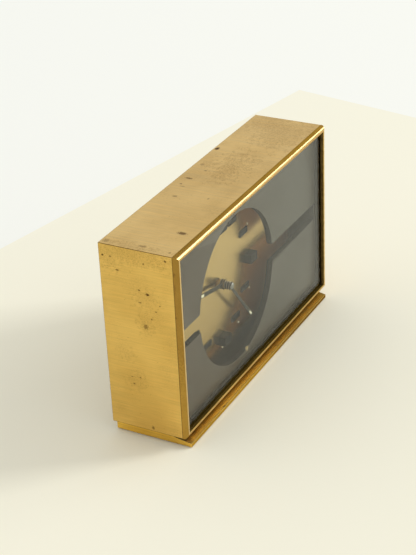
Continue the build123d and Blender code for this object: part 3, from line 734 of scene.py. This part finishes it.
def bezel_bar(side, x_side, z_side, lip_from, lip_to, materials):
    """One mitred bar of the bezel, with a round front edge and a rebate for the glass.

    The materials are those of its outer side, its lip and its rebate.
    """
    low = Vector((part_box("bezel_left")[0].x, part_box("bezel_top")[0].y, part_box("bezel_bottom")[0].z))
    high = Vector((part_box("bezel_right")[1].x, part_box("bezel_top")[1].y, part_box("bezel_top")[1].z))
    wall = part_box("case_left")[1].x - low.x
    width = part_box("bezel_left")[1].x - low.x
    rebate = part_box("front_glass")[0].y - low.y
    depth = high.y - low.y
    outline, spans = rounded_outline([
        ((0, 0), BEZEL_RADIUS),
        ((width, 0), BEZEL_INNER_RADIUS),
        ((width, rebate), 0),
        ((wall, rebate), 0),
        ((wall, depth), 0),
        ((0, depth), 0),
    ])
    middle = (low + high) / 2
    outward = Vector((x_side, 0, z_side))
    along = Vector((abs(z_side), 0, abs(x_side)))
    reach = abs(outward.dot(high - middle))
    half = abs(along.dot(high - middle))
    shape = bmesh.new()
    rings = []
    for end in (-1, 1):
        ring = []
        for inward, back in outline:
            place = Vector((middle.x, low.y + back, middle.z))
            ring.append(shape.verts.new(place + outward * (reach - inward) + along * end * (half - inward)))
        rings.append(ring)
    count = len(outline)
    for index in range(count):
        following = (index + 1) % count
        corners = (rings[0][index], rings[0][following], rings[1][following], rings[1][index])
        face = shape.faces.new(corners)
        face.smooth = spans[index]
        if index == count - 1 or index < lip_from:
            face.material_index = 0
        else:
            face.material_index = 1 if index < lip_to else 2
    for ring in rings:
        for edge in shape.faces.new(ring).edges:
            edge.smooth = False
    bmesh.ops.recalc_face_normals(shape, faces=shape.faces)
    mesh = bpy.data.meshes.new(side + "_finished")
    shape.to_mesh(mesh)
    shape.free()
    return piece(side + "_finished", mesh, "case", [side], materials)


def plinth():
    """The plinth, with its slope, its two ends and its other sides in their own tones of brass: the darker
    slope is painted shade and the lighter ends are painted light.
    """
    def choose(face):
        if face.material_index != 0:
            return face.material_index
        if face.normal.z > FACING:
            return 1
        return 2 if abs(face.normal.x) > FACING else 0

    materials = [PLINTH_SIDE_BRASS, PLINTH_SLOPE_BRASS, PLINTH_END_BRASS, EDGE_BRASS]
    paint(bevelled("plinth", "case", PLINTH_EDGE, materials), choose)


def mask_panel():
    """The mask, black in front, dark on the walls of its opening and light brass at the back, which paints
    in light bounced onto it from the dial.
    """
    def choose(face):
        if face.normal.y > FULLY_FACING:
            return 1
        return 0 if face.normal.y < -FACING else 2

    materials = [PANEL_BLACK, MASK_BACK, EDGE_BLACK]
    paint(
        bevelled("mask_panel", "case", SMALL_EDGE, materials, reshape=open_mask),
        choose,
    )


def hand(node, body, ring_radius, reshape=None):
    """A lacquered hand with bright rings on its collar, and black lacquer in the grooves between them as
    painted shade.
    """
    def choose(face):
        reach = from_axis(face.center)
        if reach > COLLAR_REACH:
            return 0
        # Faces in the grooves, and those facing front or back, take the black lacquer: painted shade
        in_groove_shade = reach < ring_radius - RING_EDGE or abs(face.normal.y) > FULLY_FACING
        return 2 if in_groove_shade else 1

    materials = [HAND_LACQUER, COLLAR_STEEL, LACQUER]
    paint(
        bevelled(node, body, HAND_EDGE, materials, FINE_SEGMENTS, True, reshape),
        choose,
    )


def slotted(node, body, materials):
    """Screws with a slot cut across each head on the back, and its edges broken."""
    screws = bevelled(node, body, HAND_EDGE, materials)
    centre = sum(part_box(node), Vector()) / 2
    back = max(vertex.co.y for vertex in screws.data.vertices)
    heads = {}
    for vertex in screws.data.vertices:
        if vertex.co.y > back - SCREW_SLOT_DEPTH:
            corner = (vertex.co.x > centre.x, vertex.co.z > centre.z)
            heads.setdefault(corner, []).append(vertex.co)
    shape = bmesh.new()
    for turn, points in zip(SCREW_SLOT_TURNS, heads.values()):
        middle = sum(points, Vector()) / len(points)
        place = Matrix.Translation((middle.x, back, middle.z)) @ Matrix.Rotation(turn, 4, "Y")
        size = Matrix.Diagonal((SCREW_SLOT_LENGTH, 2 * SCREW_SLOT_DEPTH, SCREW_SLOT_WIDTH, 1.0))
        bmesh.ops.create_cube(shape, size=1.0, matrix=place @ size)
    cutter_mesh = bpy.data.meshes.new("slot_cutter")
    shape.to_mesh(cutter_mesh)
    shape.free()
    cutter = bpy.data.objects.new("slot_cutter", cutter_mesh)
    bpy.context.scene.collection.objects.link(cutter)
    cut = screws.modifiers.new("slots", "BOOLEAN")
    cut.object = cutter
    cut.solver = "EXACT"
    bpy.context.view_layer.update()
    view = screws.evaluated_get(bpy.context.evaluated_depsgraph_get())
    screws.data = bpy.data.meshes.new_from_object(view)
    screws.modifiers.clear()
    bpy.data.objects.remove(cutter)


def dress(names, material):
    """A finish on nodes that keep their own shape."""
    for name in names:
        mesh = NODES[name].data
        mesh.materials.clear()
        mesh.materials.append(material)


# The case, its bezel and its plinth
bevelled("case_top", "case", CASE_EDGE, [TOP_BRASS, SEAM_BRASS])
bevelled("case_bottom", "case", CASE_EDGE, [DARK_BRASS, SEAM_BRASS])
bevelled("case_left", "case", CASE_EDGE, [SIDE_BRASS, SEAM_BRASS])
bevelled("case_right", "case", CASE_EDGE, [SIDE_BRASS, SEAM_BRASS])
bezel_bar("bezel_top", 0, 1, TOP_LIP_FROM, LIP_TO, [BEZEL_BRASS, TOP_LIP_BRASS, DARK_BRASS])
bezel_bar("bezel_bottom", 0, -1, LIP_FROM, LIP_TO, [BOTTOM_BRASS, BOTTOM_LIP_BRASS, BOTTOM_REBATE_BRASS])
bezel_bar("bezel_left", -1, 0, LIP_FROM, LIP_TO, [BEZEL_BRASS, LIP_BRASS, DARK_BRASS])
bezel_bar("bezel_right", 1, 0, LIP_FROM, RIGHT_LIP_TO, [BEZEL_BRASS, RIGHT_LIP_BRASS, RIGHT_REBATE_BRASS])
plinth()
dress(["base_pad"], RUBBER)

# Behind the glass
dress(["front_glass"], GLASS)
mask_panel()
dress(["glass_spacer", "dial_spacer"], SPACER_BLACK)
dress(["dial_plate"], DIAL_BRASS)
bevelled("quarter_blocks", "case", BLOCK_EDGE, [LACQUER])
bevelled("hour_plates", "case", SMALL_EDGE, [LACQUER])
bevelled("lume_dots", "case", DOT_EDGE, [DOT_LUME], FINE_SEGMENTS)
bevelled("minute_hand_lume", "minute", HAND_EDGE, [LUME], reshape=widen_minute_hand)
dress(["hour_hand_lume"], LUME)
bevelled("hand_nut", "minute", SMALL_EDGE, [NUT_STEEL])
hand("minute_hand", "minute", MINUTE_RING, widen_minute_hand)
hand("hour_hand", "hour", HOUR_RING)

# The back and the works
bevelled("back_cover", "case", CASE_EDGE, [COVER_BRASS, EDGE_BRASS])
bevelled("set_knob", "setting", SMALL_EDGE, [EDGE_BRASS])
slotted("cover_screws", "case", [STEEL])
dress([
    "corner_posts", "movement_front_plate", "movement_rear_plate", "movement_pillars", "movement_feet",
    "center_wheel", "cannon_pinion", "hour_wheel", "minute_wheel", "third_wheel",
], MOVEMENT_BRASS)
dress([
    "plinth_screws", "dial_screws", "movement_screws", "center_arbor", "minute_pinion",
    "setting_arbor", "third_arbor", "rotor_arbor", "stator_cup", "quartz_can", "contact_strips",
], STEEL)
dress(["rotor_magnet"], MAGNET)
dress(["motor_coil"], COPPER)
dress(["motor_leads"], LEAD_RED)
dress(["battery_holder", "board_posts", "driver_chip"], HOLDER_BLACK)
dress(["circuit_board"], BOARD_BROWN)
dress(["battery_cell"], CELL_GREY)


def surface(name, corners, tone):
    """A flat, matt sheet of the stage."""
    mesh = bpy.data.meshes.new(name)
    mesh.from_pydata(corners, [], [(0, 1, 2, 3)])
    obj = bpy.data.objects.new(name, mesh)
    bpy.context.scene.collection.objects.link(obj)
    s = Shader(name)
    s.set(Base_Color=tone, Roughness=STAGE_ROUGHNESS, Specular_IOR_Level=0.0)
    mesh.materials.append(s.material)


def floor():
    """The table under the clock, with its far corner behind it, and the white ground beyond."""
    turn = Matrix.Rotation(TABLE_TURN, 3, "Z")
    square = [Vector((x, y, 0.0)) * TABLE_SIDE for x, y in ((-1, -1), (0, -1), (0, 0), (-1, 0))]
    surface("table", [TABLE_CORNER + turn @ corner for corner in square], TABLE_TONE)
    square = [(-1, -1), (1, -1), (1, 1), (-1, 1)]
    surface("ground", [(x * GROUND_HALF, y * GROUND_HALF, -GROUND_DROP) for x, y in square], GROUND_TONE)


def room():
    """The even light of a pale room."""
    world = bpy.data.worlds.new("room")
    bpy.context.scene.world = world
    world.use_nodes = True
    background = world.node_tree.nodes["Background"]
    background.inputs["Color"].default_value = (*ROOM_COLOUR, 1)
    background.inputs["Strength"].default_value = ROOM_STRENGTH


def outward_from(azimuth, elevation):
    """The direction this far to the right of the clock's front and this far up, in radians."""
    level = math.cos(elevation)
    return Vector((math.sin(azimuth) * level, -math.cos(azimuth) * level, math.sin(elevation)))


def panel(name, azimuth, elevation, distance, width, height, power):
    """A bright rectangle that faces the clock."""
    lamp = bpy.data.lights.new(name, "AREA")
    lamp.shape = "RECTANGLE"
    lamp.size = width
    lamp.size_y = height
    lamp.energy = power
    lamp.color = PANEL_COLOUR
    obj = bpy.data.objects.new(name, lamp)
    bpy.context.scene.collection.objects.link(obj)
    direction = outward_from(math.radians(azimuth), math.radians(elevation))
    obj.location = (cad_box[0] + cad_box[1]) / 2 + direction * distance
    obj.rotation_mode = "QUATERNION"
    obj.rotation_quaternion = (-direction).to_track_quat("-Z", "Y")


def camera():
    """The photograph's view, with the camera rolled a little to one side."""
    data = bpy.data.cameras.new("camera")
    data.lens = CAMERA_LENS
    data.sensor_width = CAMERA_SENSOR
    obj = bpy.data.objects.new("camera", data)
    bpy.context.scene.collection.objects.link(obj)
    back = outward_from(CAMERA_AZIMUTH, CAMERA_ELEVATION)
    right = Vector((0, 0, 1)).cross(back).normalized()
    up = back.cross(right)
    tilted_right = right * math.cos(CAMERA_ROLL) + up * math.sin(CAMERA_ROLL)
    tilted_up = up * math.cos(CAMERA_ROLL) - right * math.sin(CAMERA_ROLL)
    turn = Matrix((tilted_right, tilted_up, back)).transposed()
    obj.matrix_world = Matrix.Translation(CAMERA_PLACE) @ turn.to_4x4()
    bpy.context.scene.camera = obj


floor()
room()
for values in PANELS:
    panel(*values)
camera()
bpy.context.scene.view_settings.view_transform = "Standard"
